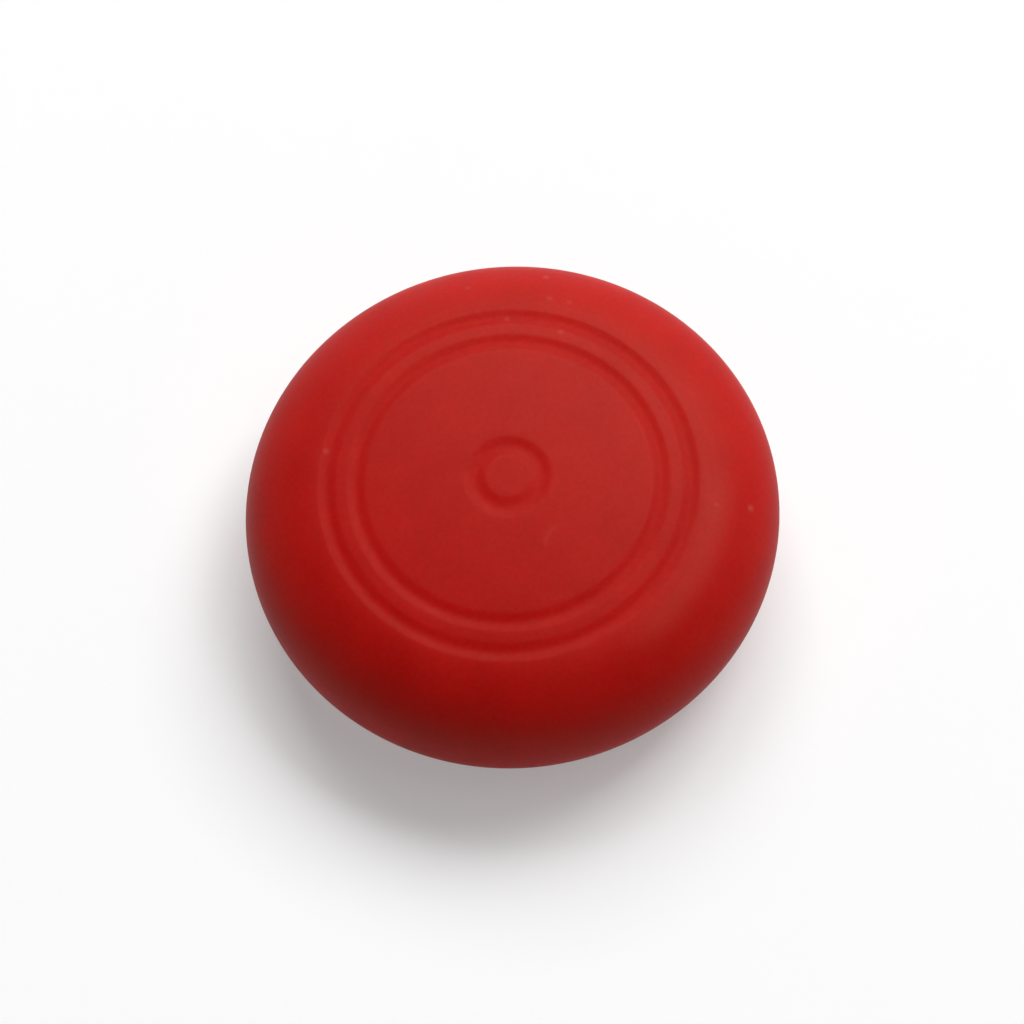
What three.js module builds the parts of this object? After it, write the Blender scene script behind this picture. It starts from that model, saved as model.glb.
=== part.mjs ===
// Thumb grip cap for a controller stick, moulded in one piece of silicone.
// Its hollow underside is stretched over the stick's round head, and the lip below keeps it there.
// Millimetres, +Z up, with the origin at the centre of the underside.

import * as THREE from 'three';

const { degToRad, lerp } = THREE.MathUtils;

// Stick head that the cap holds
const headRadius = 7.6;
const headHeight = 2.9;
const gripStretch = 0.1; // the cavity is this much smaller than the head all round

// Walls and gripping lip
const sideWall = 1.5;
const topWall = 1.4;
const lipHeight = 1.5;
const lipReach = 1.6;

// Outside form from the top down, with angles in degrees
const domeRadius = 42;
const shoulderRadius = 4;
const shoulderEndSlope = 50; // the shoulder hands over to the edge where its normal rises this much
const edgeRadius = 2.2;
const skirtDraft = 24; // the skirt leans in this much below the widest place
const footRounding = 1.2;

// Rounding inside
const mouthRounding = 0.3;
const lipRootFillet = 0.3;
const ceilingFillet = 0.9;

// Rings engraved in the top, each a shallow, smooth, round-lipped groove
const outerRingInset = 2.95; // from the widest place in to the middle of the outer ring
const ringSpacing = 0.99;
const centreRingRadius = 1.1;
const ringWidth = 0.71;
const ringDepth = 0.065;
const centreRingWidth = 0.85;
const centreRingDepth = 0.07;

// Fineness of the faceted surface
const turnSteps = 64;
const grooveSteps = 8;
const landStep = 0.8;
const closestPoints = 0.03;
const outsideStep = degToRad(13);
const filletStep = degToRad(22.5);

const siliconeRed = '#b5231c';
const siliconeRoughness = 0.55;

// Sizes that follow from the ones above
const cavityRadius = headRadius - gripStretch;
const outerRadius = cavityRadius + sideWall;
const mouthRadius = cavityRadius - lipReach;
const ceilingHeight = lipHeight + headHeight;
const totalHeight = ceilingHeight + topWall;
const outerRingRadius = outerRadius - outerRingInset;

const grooves = [
  { radius: centreRingRadius, width: centreRingWidth, depth: centreRingDepth },
  { radius: outerRingRadius - ringSpacing, width: ringWidth, depth: ringDepth },
  { radius: outerRingRadius, width: ringWidth, depth: ringDepth },
];

const up = Math.PI / 2;
const down = -up;
const shoulderEnd = degToRad(shoulderEndSlope);
const draft = degToRad(skirtDraft);

// The outside's arcs, each with its centre at r from the axis and at height z, and tangent to the next
const dome = { r: 0, z: totalHeight - domeRadius, radius: domeRadius };
const shoulder = shoulderArc();
const edge = edgeArc();
const foot = footArc();
const domeEnd = Math.atan2(shoulder.z - dome.z, shoulder.r);
const domeEndRadius = domeRadius * Math.cos(domeEnd);

function shoulderArc() {
  const r = outerRadius - edgeRadius - (shoulderRadius - edgeRadius) * Math.cos(shoulderEnd);
  const z = dome.z + Math.sqrt((domeRadius - shoulderRadius) ** 2 - r ** 2);
  return { r, z, radius: shoulderRadius };
}

function edgeArc() {
  const r = outerRadius - edgeRadius;
  const z = shoulder.z + (shoulderRadius - edgeRadius) * Math.sin(shoulderEnd);
  return { r, z, radius: edgeRadius };
}

// The foot stands on z = 0 at the end of the straight skirt, and is no rounder than the skirt's height allows
function footArc() {
  const skirtTop = arcPoint(edge, -draft);
  const roundest = skirtTop.y / (1 - Math.sin(draft));
  const radius = Math.min(footRounding, roundest);
  const drop = skirtTop.y - radius * (1 - Math.sin(draft));
  const r = skirtTop.x - drop * Math.tan(draft) - radius * Math.cos(draft);
  return { r, z: radius, radius };
}

// The point of an arc where its normal rises by the given angle, as radius and height
function arcPoint(arc, angle) {
  return new THREE.Vector2(arc.r + arc.radius * Math.cos(angle), arc.z + arc.radius * Math.sin(angle));
}

function arcPoints(arc, from, to, angleStep) {
  const steps = Math.ceil(Math.abs(to - from) / angleStep);
  const points = [];
  for (let step = 0; step <= steps; step++) {
    points.push(arcPoint(arc, lerp(from, to, step / steps)));
  }
  return points;
}

// Depth of the engraving at a radius: each groove is one cosine wave across its width
function grooveDepth(radius) {
  let depth = 0;
  for (const groove of grooves) {
    const across = (radius - groove.radius) / groove.width;
    if (Math.abs(across) < 0.5) {
      depth += 0.5 * groove.depth * (1 + Math.cos(2 * Math.PI * across));
    }
  }
  return depth;
}

// A point of the engraved top, which the grooves sink along its normal
function topPoint(radius) {
  const arc = radius < domeEndRadius ? dome : shoulder;
  const angle = Math.acos((radius - arc.r) / arc.radius);
  return arcPoint({ ...arc, radius: arc.radius - grooveDepth(radius) }, angle);
}

// Radii that the top is built from, evenly across each groove and coarser on the lands
function topRadii() {
  const radii = [];
  for (let radius = 0; radius < domeEndRadius; radius += landStep) {
    radii.push(radius);
  }
  for (const groove of grooves) {
    for (let step = 0; step <= grooveSteps; step++) {
      radii.push(groove.radius + groove.width * (step / grooveSteps - 0.5));
    }
  }
  radii.sort((a, b) => a - b);
  return radii.filter((radius, i) => i === 0 || radius - radii[i - 1] > closestPoints);
}

// The hollow side from the ceiling's middle down to the mouth's lower edge
function insidePoints() {
  const mouthEdge = Math.min(mouthRounding, lipHeight / 2);
  const ceilingCorner = {
    r: cavityRadius - ceilingFillet,
    z: ceilingHeight - ceilingFillet,
    radius: ceilingFillet,
  };
  const lipRoot = { r: cavityRadius - lipRootFillet, z: lipHeight + lipRootFillet, radius: lipRootFillet };
  const lipTopEdge = { r: mouthRadius + mouthEdge, z: lipHeight - mouthEdge, radius: mouthEdge };
  const lipLowEdge = { ...lipTopEdge, z: mouthEdge };
  return [
    new THREE.Vector2(0, ceilingHeight),
    ...arcPoints(ceilingCorner, up, 0, filletStep),
    ...arcPoints(lipRoot, 0, down, filletStep),
    ...arcPoints(lipTopEdge, up, Math.PI, filletStep),
    ...arcPoints(lipLowEdge, Math.PI, Math.PI + up, filletStep),
  ];
}

// The outside from the foot up to the middle of the top, with points at the widest place
function outsidePoints() {
  const top = topRadii().map(topPoint);
  const lastTop = topRadii().at(-1);
  const shoulderStart = Math.acos((lastTop - shoulder.r) / shoulder.radius);
  return [
    ...arcPoints(foot, down, -draft, outsideStep),
    ...arcPoints(edge, -draft, 0, outsideStep).slice(0, -1),
    ...arcPoints(edge, 0, shoulderEnd, outsideStep).slice(0, -1),
    ...arcPoints(shoulder, shoulderEnd, shoulderStart, outsideStep).slice(0, -1),
    ...top.reverse(),
  ];
}

function gripCap() {
  const geometry = new THREE.LatheGeometry([...insidePoints(), ...outsidePoints()], turnSteps);
  geometry.rotateX(up);
  const material = new THREE.MeshStandardMaterial({
    color: siliconeRed,
    roughness: siliconeRoughness,
    metalness: 0,
  });
  const mesh = new THREE.Mesh(geometry, material);
  mesh.name = 'grip_cap';
  return mesh;
}

const group = new THREE.Group();
group.add(gripCap());

export default group;
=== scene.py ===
"""The looks of the thumb grip cap: its fine silicone skin, the floor, the light and the camera.

Metres, in the frame of the part: +Z up, and the cap stands on z = 0 around the origin.
"""

import math

import bpy
from mathutils import Matrix, Vector


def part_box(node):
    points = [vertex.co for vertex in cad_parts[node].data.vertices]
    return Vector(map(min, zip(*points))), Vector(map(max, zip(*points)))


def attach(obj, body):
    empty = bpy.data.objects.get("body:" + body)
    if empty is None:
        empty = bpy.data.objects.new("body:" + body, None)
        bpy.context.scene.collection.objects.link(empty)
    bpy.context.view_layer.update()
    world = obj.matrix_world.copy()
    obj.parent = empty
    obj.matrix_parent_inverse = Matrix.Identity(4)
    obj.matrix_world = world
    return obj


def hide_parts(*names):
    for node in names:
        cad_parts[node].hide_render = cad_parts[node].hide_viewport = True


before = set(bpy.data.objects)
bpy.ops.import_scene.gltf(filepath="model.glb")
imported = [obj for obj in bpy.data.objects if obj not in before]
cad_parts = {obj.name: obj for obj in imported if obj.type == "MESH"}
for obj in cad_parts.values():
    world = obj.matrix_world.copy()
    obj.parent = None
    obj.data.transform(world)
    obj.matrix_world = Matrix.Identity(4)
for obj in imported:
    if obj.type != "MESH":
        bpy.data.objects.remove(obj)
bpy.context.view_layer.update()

MM = 0.001
CAP_LOW, CAP_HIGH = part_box("grip_cap")
OUTER_RADIUS = (CAP_HIGH.x - CAP_LOW.x) / 2
TOTAL_HEIGHT = CAP_HIGH.z - CAP_LOW.z

# Outside form, as in the solid
DOME_RADIUS = 42 * MM
SHOULDER_RADIUS = 4 * MM
SHOULDER_END = math.radians(50)
EDGE_RADIUS = 2.2 * MM
SKIRT_DRAFT = math.radians(24)
FOOT_ROUNDING = 1.2 * MM

# Hollow underside, as in the solid
SIDE_WALL = 1.5 * MM
TOP_WALL = 1.4 * MM
LIP_HEIGHT = 1.5 * MM
LIP_REACH = 1.6 * MM
MOUTH_ROUNDING = 0.3 * MM
LIP_ROOT_FILLET = 0.3 * MM
CEILING_FILLET = 0.9 * MM

# Engraved rings, as in the solid
OUTER_RING_INSET = 2.95 * MM
RING_SPACING = 0.99 * MM
RING_WIDTH = 0.71 * MM
RING_DEPTH = 0.065 * MM
CENTRE_RING_RADIUS = 1.1 * MM
CENTRE_RING_WIDTH = 0.85 * MM
CENTRE_RING_DEPTH = 0.07 * MM
OUTER_RING_RADIUS = OUTER_RADIUS - OUTER_RING_INSET
INNER_RING_RADIUS = OUTER_RING_RADIUS - RING_SPACING

# Each ring: radius of its middle, width and depth
RINGS = [
    (CENTRE_RING_RADIUS, CENTRE_RING_WIDTH, CENTRE_RING_DEPTH),
    (INNER_RING_RADIUS, RING_WIDTH, RING_DEPTH),
    (OUTER_RING_RADIUS, RING_WIDTH, RING_DEPTH),
]

# Fineness of the skin
TURN_STEPS = 288
TOP_STEP = 0.055 * MM
FLAT_STEP = 0.5 * MM
ARC_STEP = math.radians(2)
FILLET_STEP = math.radians(10)

# Two reds in a soft mottle
MOTTLE_SCALE = 420
MOTTLE_DETAIL = 5
DEEP_RED = (0.40, 0.0004, 0.0006, 1)
PALE_RED = (0.44, 0.0018, 0.0016, 1)

# Fine moulded grain and its roughness, which is a little higher in the rings
GRAIN_SCALE = 6500
GRAIN_DETAIL = 2
GRAIN_STRENGTH = 0.45
GRAIN_DEPTH = 0.01 * MM
SMOOTHEST = 0.50
ROUGHEST = 0.55
RING_ROUGHER = 0.09

# Values between which most of a noise lies
NOISE_LOW = 0.35
NOISE_HIGH = 0.65

# Gloss, and how far light spreads inside: a reach, and the share of it for red, green and blue
REFRACTION = 1.41
GLOSS_LEVEL = 0.18
GLOSS_TINT = (1, 1, 0.73, 1)
SCATTER_REACH = 1.8 * MM
SCATTER_SHARES = (1, 0.1, 0.08)

# Dust, with the cover of its thin film in the grain and the ragged edges of its specks. Its colour also
# paints the pale highlight patch on the shoulder.
DUST_AND_HIGHLIGHT = (0.56, 0.13, 0.09, 1)
FILM_COVER = 0.024
RAGGED_SCALE = 9000
RAGGEDNESS = 0.09 * MM

# Specks of dust on the top: azimuth in degrees, distance from the axis, radius and cover in the middle
SPECKS = [
    (-11.7, 8.03 * MM, 0.21 * MM, 0.32),
    (-13.5, 6.92 * MM, 0.20 * MM, 0.22),
    (75.0, 7.99 * MM, 0.21 * MM, 0.30),
    (72.5, 6.96 * MM, 0.19 * MM, 0.18),
    (66.8, 6.97 * MM, 0.18 * MM, 0.14),
    (66.0, 5.70 * MM, 0.18 * MM, 0.19),
    (84.5, 6.00 * MM, 0.19 * MM, 0.22),
    (94.8, 7.52 * MM, 0.18 * MM, 0.20),
    (162.5, 6.20 * MM, 0.19 * MM, 0.25),
]

# Faint marks, each a stretch of an arc: the arc's centre, the mark's middle, how far it reaches from
# there, its half width and its cover. A curved print, and a pale patch on the shoulder that is a painted
# highlight.
MARKS_AND_PAINTED_HIGHLIGHT = [
    ((2.06 * MM, -2.83 * MM), (1.09 * MM, -2.23 * MM), 0.52 * MM, 0.14 * MM, 0.075),
    # A painted highlight: a pale patch on the shoulder, in the colour of the dust
    ((0, 0), (5.9 * MM, -3.7 * MM), 4.2 * MM, 0.85 * MM, 0.08),
]

# Camera, as the photograph was taken
VIEW_ELEVATION = math.radians(66.75)
VIEW_ROLL = math.radians(-6.54)
VIEW_DISTANCE = 119.46 * MM
VIEW_AIM = Vector((0, -1.305 * MM, TOTAL_HEIGHT))
LENS_MM = 128
SENSOR_MM = 36
CLIP_START = 0.01
CLIP_END = 10

# Round floor whose rim curves up into a backdrop
FLOOR_DROP = 0.01 * MM
FLOOR_FLAT = 0.38
SWEEP_RADIUS = 0.2
FLOOR_STEPS = 96
SWEEP_STEP = math.radians(6)
FLOOR_GREY = (0.7, 0.7, 0.7, 1)
FLOOR_GLOW = 0.3

# Square soft boxes, all as far away: azimuth (0 = +X, 90 = away from the camera), elevation and level.
# A surface that faces a box of level 1 shows its colour as written.
BOX_DISTANCE = 0.84
BOX_SIZE = 0.44
SOFT_BOXES = [
    ("key_box", 45, 48, 0.70),
    ("back_box", 90, 46, 0.52),
    ("top_box", 0, 68, 0.09),
]

# Weak light from all around
AMBIENT = 0.03
WHITE = (1, 1, 1, 1)

# How far a normal rises when it points straight up or down
UP = math.pi / 2
DOWN = -UP


def arc_point(arc, angle):
    """Point of an arc (centre r, centre z, radius) where its normal rises by the angle, as (r, z)."""
    r, z, radius = arc
    return (r + radius * math.cos(angle), z + radius * math.sin(angle))


def arc_points(arc, start, end, step):
    """Points along an arc from one angle to another, with both ends."""
    count = math.ceil(abs(end - start) / step)
    return [arc_point(arc, start + (end - start) * i / count) for i in range(count + 1)]


def line_points(start, end, step):
    """Points between two places, without the ends."""
    count = math.ceil(math.dist(start, end) / step)
    shares = [i / count for i in range(1, count)]
    return [(start[0] + (end[0] - start[0]) * t, start[1] + (end[1] - start[1]) * t) for t in shares]


def outside_arcs():
    """The dome, shoulder, edge and foot. Each is tangent to the next, the foot through a straight skirt."""
    dome = (0, TOTAL_HEIGHT - DOME_RADIUS, DOME_RADIUS)
    radius_step = SHOULDER_RADIUS - EDGE_RADIUS
    edge_r = OUTER_RADIUS - EDGE_RADIUS
    shoulder_r = edge_r - radius_step * math.cos(SHOULDER_END)
    shoulder_z = dome[1] + math.sqrt((DOME_RADIUS - SHOULDER_RADIUS) ** 2 - shoulder_r**2)
    edge_z = shoulder_z + radius_step * math.sin(SHOULDER_END)
    edge = (edge_r, edge_z, EDGE_RADIUS)
    skirt_top = arc_point(edge, -SKIRT_DRAFT)
    drop = skirt_top[1] - FOOT_ROUNDING * (1 - math.sin(SKIRT_DRAFT))
    foot_r = skirt_top[0] - drop * math.tan(SKIRT_DRAFT) - FOOT_ROUNDING * math.cos(SKIRT_DRAFT)
    return dome, (shoulder_r, shoulder_z, SHOULDER_RADIUS), edge, (foot_r, FOOT_ROUNDING, FOOT_ROUNDING)


def top_arc(radius):
    """The arc that the top follows at a radius."""
    dome, shoulder, edge, _ = outside_arcs()
    dome_end = math.atan2(shoulder[1] - dome[1], shoulder[0])
    if radius < arc_point(dome, dome_end)[0]:
        return dome
    return shoulder if radius < arc_point(shoulder, SHOULDER_END)[0] else edge


def on_top(x, y):
    """The place of the plain top, without its rings, above a point of the ground."""
    radius = math.hypot(x, y)
    arc = top_arc(radius)
    return Vector((x, y, arc_point(arc, math.acos((radius - arc[0]) / arc[2]))[1]))


def ring_depth(radius):
    """How deep the top is engraved at a radius: each ring is one cosine wave across its width."""
    depth = 0
    for middle, width, deep in RINGS:
        across = (radius - middle) / width
        if abs(across) < 0.5:
            depth += 0.5 * deep * (1 + math.cos(2 * math.pi * across))
    return depth


def outside_points():
    """The outside from the foot up to the middle of the top."""
    _, shoulder, edge, foot = outside_arcs()
    points = arc_points(foot, DOWN, -SKIRT_DRAFT, FILLET_STEP)
    points += line_points(points[-1], arc_point(edge, -SKIRT_DRAFT), FLAT_STEP)
    points += arc_points(edge, -SKIRT_DRAFT, SHOULDER_END, ARC_STEP)[:-1]
    top_end = OUTER_RING_RADIUS + RING_WIDTH / 2
    shoulder_start = math.acos((top_end - shoulder[0]) / shoulder[2])
    points += arc_points(shoulder, SHOULDER_END, shoulder_start, ARC_STEP)[:-1]
    count = math.ceil(top_end / TOP_STEP)
    for i in range(count, -1, -1):
        radius = top_end * i / count
        r, z, arc_radius = top_arc(radius)
        angle = math.acos((radius - r) / arc_radius)
        points.append(arc_point((r, z, arc_radius - ring_depth(radius)), angle))
    return points


def cap_profile():
    """The whole section: down the hollow side from the ceiling's middle, and up the outside to the top's."""
    cavity_radius = OUTER_RADIUS - SIDE_WALL
    mouth_radius = cavity_radius - LIP_REACH
    ceiling = TOTAL_HEIGHT - TOP_WALL
    corner = (cavity_radius - CEILING_FILLET, ceiling - CEILING_FILLET, CEILING_FILLET)
    lip_root = (cavity_radius - LIP_ROOT_FILLET, LIP_HEIGHT + LIP_ROOT_FILLET, LIP_ROOT_FILLET)
    lip_top = (mouth_radius + MOUTH_ROUNDING, LIP_HEIGHT - MOUTH_ROUNDING, MOUTH_ROUNDING)
    lip_low = (lip_top[0], MOUTH_ROUNDING, MOUTH_ROUNDING)
    stretches = [
        arc_points(corner, UP, 0, FILLET_STEP),
        arc_points(lip_root, 0, DOWN, FILLET_STEP),
        arc_points(lip_top, UP, math.pi, FILLET_STEP),
        arc_points(lip_low, math.pi, math.pi + UP, FILLET_STEP),
        outside_points(),
    ]
    points = [(0, ceiling)]
    for stretch in stretches:
        points += line_points(points[-1], stretch[0], FLAT_STEP) + stretch
    return points


def turned_mesh(name, profile, turn_steps):
    """A skin turned around the axis from (r, z) points, where a point on the axis becomes one vertex."""
    turns = [2 * math.pi * i / turn_steps for i in range(turn_steps)]
    vertices = []
    rows = []
    for r, z in profile:
        row = [(r * math.cos(a), r * math.sin(a), z) for a in turns] if r > 0 else [(0, 0, z)]
        rows.append([len(vertices) + i % len(row) for i in range(turn_steps)])
        vertices += row
    faces = []
    for lower, upper in zip(rows, rows[1:]):
        for i in range(turn_steps):
            after = (i + 1) % turn_steps
            corners = (lower[i], lower[after], upper[after], upper[i])
            # Two corners on the axis are one, which leaves a triangle
            faces.append(tuple(dict.fromkeys(corners)))
    mesh = bpy.data.meshes.new(name)
    mesh.from_pydata(vertices, [], faces)
    mesh.update()
    mesh.shade_smooth()
    return mesh


def link(name, data):
    """A new object in the scene that shows the data."""
    thing = bpy.data.objects.new(name, data)
    bpy.context.scene.collection.objects.link(thing)
    return thing


def node_maker(tree):
    """A short way to add a node and to set its inputs or join them to others, in order or by name."""

    def add(kind, *ordered, settings=None, **named):
        node = tree.nodes.new(kind)
        for key, value in (settings or {}).items():
            setattr(node, key, value)
        inputs = [(node.inputs[i], value) for i, value in enumerate(ordered)]
        inputs += [(node.inputs[key.replace("_", " ")], value) for key, value in named.items()]
        for socket, value in inputs:
            if isinstance(value, bpy.types.NodeSocket):
                tree.links.new(value, socket)
            else:
                socket.default_value = value
        return node

    return add


def new_material(name):
    """An empty material, and the way to add its nodes."""
    material = bpy.data.materials.new(name)
    material.use_nodes = True
    material.node_tree.nodes.clear()
    return material, node_maker(material.node_tree)


def math_node(add, operation, *values):
    return add("ShaderNodeMath", *values, settings={"operation": operation}).outputs["Value"]


def vector_math(add, operation, *values):
    return add("ShaderNodeVectorMath", *values, settings={"operation": operation}).outputs


def fade(add, value, start, end, cover):
    """Falls smoothly from the cover to nothing as the value goes from start to end."""
    smooth = {"interpolation_type": "SMOOTHSTEP"}
    return add("ShaderNodeMapRange", value, start, end, cover, 0, settings=smooth).outputs["Result"]


def noise(add, place, scale, detail):
    return add("ShaderNodeTexNoise", Vector=place, Scale=scale, Detail=detail).outputs["Fac"]


def mark_cover(add, place, mark):
    """The share that a faint mark covers: it fades off its line, and over the outer half of its reach."""
    centre, middle, reach, half_width, share = mark
    arc_radius = (on_top(*middle) - on_top(*centre)).length
    from_centre = vector_math(add, "DISTANCE", place, on_top(*centre))["Value"]
    off_line = math_node(add, "ABSOLUTE", math_node(add, "SUBTRACT", from_centre, arc_radius))
    from_middle = vector_math(add, "DISTANCE", place, on_top(*middle))["Value"]
    line = fade(add, off_line, 0, half_width, share)
    return math_node(add, "MULTIPLY", line, fade(add, from_middle, reach / 2, reach, 1))


def dust_and_highlight_cover(add, place, grain):
    """The share that dust and painted highlight cover: a film of dust in the grain, the print, the painted
    highlight patch, and the specks with their ragged edges.
    """
    cover = fade(add, grain, NOISE_LOW, NOISE_HIGH, FILM_COVER)
    for mark in MARKS_AND_PAINTED_HIGHLIGHT:
        cover = math_node(add, "ADD", cover, mark_cover(add, place, mark))
    # The noise is a half on average, so it shifts a place by about half of the raggedness
    raggedness = Vector((RAGGEDNESS,) * 3)
    usual_shift = raggedness / 2
    ragged_noise = add("ShaderNodeTexNoise", Vector=place, Scale=RAGGED_SCALE).outputs["Color"]
    shifted_place = vector_math(add, "MULTIPLY_ADD", ragged_noise, raggedness, place)["Vector"]
    for azimuth, distance, radius, share in SPECKS:
        turn = math.radians(azimuth)
        middle = on_top(distance * math.cos(turn), distance * math.sin(turn)) + usual_shift
        away = vector_math(add, "DISTANCE", shifted_place, middle)["Value"]
        cover = math_node(add, "MAXIMUM", cover, fade(add, away, 0, radius, share))
    return cover


def ring_cover(add, place):
    """How far a place lies in a ring, from 0 to 1. Only its distance from the axis counts."""
    flat_place = vector_math(add, "MULTIPLY", place, (1, 1, 0))["Vector"]
    from_axis = vector_math(add, "LENGTH", flat_place)["Value"]
    cover = 0
    for middle, width, _ in RINGS:
        off_middle = math_node(add, "ABSOLUTE", math_node(add, "SUBTRACT", from_axis, middle))
        cover = math_node(add, "MAXIMUM", cover, fade(add, off_middle, width / 4, width / 2, 1))
    return cover


def mottled_red(add, place):
    """Red that changes softly between the deep and the pale one."""
    ramp = add("ShaderNodeValToRGB", Fac=noise(add, place, MOTTLE_SCALE, MOTTLE_DETAIL))
    low, high = ramp.color_ramp.elements
    low.position = NOISE_LOW
    low.color = DEEP_RED
    high.position = NOISE_HIGH
    high.color = PALE_RED
    return ramp.outputs["Color"]


def silicone():
    """Matt red silicone that light enters a little, with a fine grain, rougher rings, some dust and a
    painted highlight patch on the shoulder.
    """
    material, add = new_material("red_silicone")
    place = add("ShaderNodeTexCoord").outputs["Object"]
    grain = noise(add, place, GRAIN_SCALE, GRAIN_DETAIL)
    cover = dust_and_highlight_cover(add, place, grain)
    # Mixes in the dust and the pale painted highlight patch on the shoulder
    red_with_dust_and_painted_highlight = add("ShaderNodeMixRGB", cover, mottled_red(add, place), DUST_AND_HIGHLIGHT).outputs["Color"]
    plain = add("ShaderNodeMapRange", Value=grain, To_Min=SMOOTHEST, To_Max=ROUGHEST).outputs["Result"]
    bump = add("ShaderNodeBump", Height=grain, Strength=GRAIN_STRENGTH, Distance=GRAIN_DEPTH)
    shader = add(
        "ShaderNodeBsdfPrincipled",
        settings={"subsurface_method": "BURLEY"},
        Base_Color=red_with_dust_and_painted_highlight,
        Roughness=math_node(add, "MULTIPLY_ADD", ring_cover(add, place), RING_ROUGHER, plain),
        Normal=bump.outputs["Normal"],
        IOR=REFRACTION,
        Specular_IOR_Level=GLOSS_LEVEL,
        Specular_Tint=GLOSS_TINT,
        Subsurface_Weight=1,
        Subsurface_Radius=SCATTER_SHARES,
        Subsurface_Scale=SCATTER_REACH,
    )
    add("ShaderNodeOutputMaterial", Surface=shader.outputs["BSDF"])
    return material


def make_cap():
    cap = link("silicone_cap", turned_mesh("silicone_cap", cap_profile(), TURN_STEPS))
    cap.data.materials.append(silicone())
    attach(cap, "root")
    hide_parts("grip_cap")


def floor_paint():
    """Pale and matt. The camera, gloss and glass see it a little lighter, as the photograph's white."""
    material, add = new_material("floor_paint")
    path = add("ShaderNodeLightPath").outputs
    gloss_or_glass = math_node(add, "MAXIMUM", path["Is Glossy Ray"], path["Is Transmission Ray"])
    seen = math_node(add, "MAXIMUM", path["Is Camera Ray"], gloss_or_glass)
    paint = add("ShaderNodeBsdfDiffuse", Color=FLOOR_GREY).outputs["BSDF"]
    glow = add("ShaderNodeEmission", Strength=FLOOR_GLOW).outputs["Emission"]
    lighter = add("ShaderNodeAddShader", paint, glow).outputs["Shader"]
    choice = add("ShaderNodeMixShader", seen, paint, lighter).outputs["Shader"]
    add("ShaderNodeOutputMaterial", Surface=choice)
    return material


def make_floor():
    sweep = (FLOOR_FLAT, SWEEP_RADIUS - FLOOR_DROP, SWEEP_RADIUS)
    profile = arc_points(sweep, 0, DOWN, SWEEP_STEP) + [(0, -FLOOR_DROP)]
    floor = link("floor", turned_mesh("floor", profile, FLOOR_STEPS))
    floor.data.materials.append(floor_paint())


def make_soft_boxes():
    """The boxes stand behind the cap and to its right, and face its top."""
    aim = Vector((0, 0, TOTAL_HEIGHT))
    for name, azimuth, elevation, level in SOFT_BOXES:
        turn, rise = math.radians(azimuth), math.radians(elevation)
        way = Vector((math.cos(turn) * math.cos(rise), math.sin(turn) * math.cos(rise), math.sin(rise)))
        box = bpy.data.lights.new(name, "AREA")
        box.shape = "SQUARE"
        box.size = BOX_SIZE
        box.energy = level * (math.pi * BOX_DISTANCE) ** 2
        lamp = link(name, box)
        lamp.location = aim + way * BOX_DISTANCE
        lamp.rotation_euler = way.to_track_quat("Z", "Y").to_euler()
        lamp.visible_camera = False


def make_surround():
    world = bpy.data.worlds.new("surround")
    world.use_nodes = True
    surround = world.node_tree.nodes["Background"]
    surround.inputs["Color"].default_value = WHITE
    surround.inputs["Strength"].default_value = AMBIENT
    bpy.context.scene.world = world


def make_camera():
    """Looks down on the cap from the front, rolled as the photograph is."""
    lens = bpy.data.cameras.new("camera")
    lens.sensor_width = SENSOR_MM
    lens.lens = LENS_MM
    lens.clip_start = CLIP_START
    lens.clip_end = CLIP_END
    camera = link("camera", lens)
    across = Vector((1, 0, 0))
    back = Vector((0, -math.cos(VIEW_ELEVATION), math.sin(VIEW_ELEVATION)))
    level_up = back.cross(across)
    right = math.cos(VIEW_ROLL) * across + math.sin(VIEW_ROLL) * level_up
    upward = math.cos(VIEW_ROLL) * level_up - math.sin(VIEW_ROLL) * across
    turn = Matrix((right, upward, back)).transposed().to_4x4()
    camera.matrix_world = Matrix.Translation(VIEW_AIM + back * VIEW_DISTANCE) @ turn
    bpy.context.scene.camera = camera


make_camera()
make_cap()
make_floor()
make_soft_boxes()
make_surround()
bpy.context.scene.view_settings.view_transform = "Standard"
